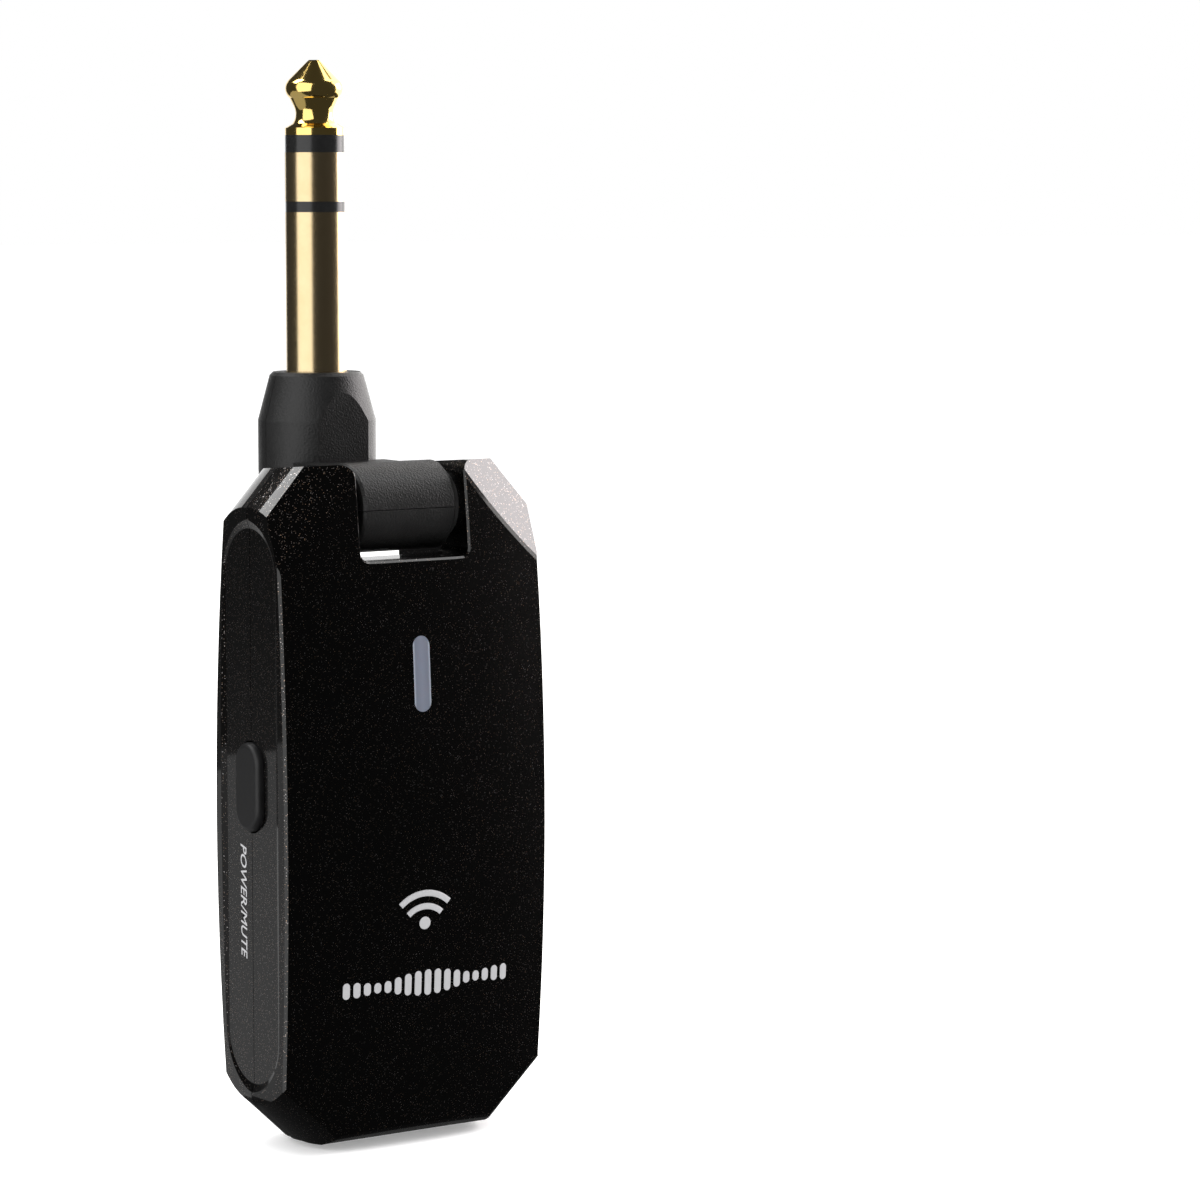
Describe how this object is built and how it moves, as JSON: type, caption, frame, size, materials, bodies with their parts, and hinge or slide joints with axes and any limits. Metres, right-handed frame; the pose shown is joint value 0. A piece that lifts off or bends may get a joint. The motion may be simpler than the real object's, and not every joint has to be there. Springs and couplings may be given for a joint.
{
  "type": "wireless guitar transmitter",
  "caption": "Pocket wireless guitar transmitter: slim eight-sided gloss case, side key, status light, and a jack plug on a friction hinge that folds back.",
  "frame": {"origin": "middle of the neck's flat shoulder, where the plug leaves it", "axes": "+Z along the plug to its tip, -Y towards the case's front face, +X to the right seen from the front"},
  "size_m": [0.032, 0.0273, 0.1115],
  "materials": {
    "case": "high gloss black lacquer with a fine metallic fleck",
    "screw": "blackened steel",
    "lens": "frosted light window",
    "soft_black": "matt soft foam or rubber",
    "ceramic_white": "matt ceramic",
    "board": "green solder mask",
    "chip": "moulded black package",
    "tin": "tinned sheet",
    "cell": "dull pouch foil",
    "wire": "insulated wire",
    "steel": "turned steel",
    "washer": "black acetal",
    "key": "dark grey satin key",
    "neck": "fine spark-textured black plastic",
    "plug_gold": "gold-plated, polished",
    "insulator": "gloss black band"
  },
  "bodies": {
    "housing": {"front_shell": "case", "rear_shell": "case", "case_screws": "screw", "light_lens": "lens", "light_gasket": "soft_black", "status_led": "ceramic_white", "main_board": "board", "board_screws": "screw", "board_chips": "chip", "radio_shield": "tin", "antenna": "ceramic_white", "tact_switch": "chip", "battery": "cell", "battery_pad": "soft_black", "battery_leads": "wire", "board_cable": "wire", "hinge_stub_left": "steel", "hinge_stub_right": "steel", "friction_washers": "washer"},
    "key": {"power_key": "key"},
    "neck": {"neck_upper": "neck", "neck_lower": "neck", "neck_cable": "wire", "plug_sleeve": "plug_gold", "sleeve_insulator": "insulator", "plug_ring": "plug_gold", "ring_insulator": "insulator", "plug_tip": "plug_gold", "plug_terminals": "plug_gold"}
  },
  "joints": [
    {"name": "neck_hinge", "type": "hinge", "parent": "housing", "child": "neck", "pos_m": [0, -0.0141, -0.0133], "axis": [-1, 0, 0], "range_deg": [-90, 90]},
    {"name": "key_press", "type": "slide", "parent": "housing", "child": "key", "axis": [1, 0, 0], "range_m": [0, 0.0004], "stiffness_N_per_m": 900}
  ]
}
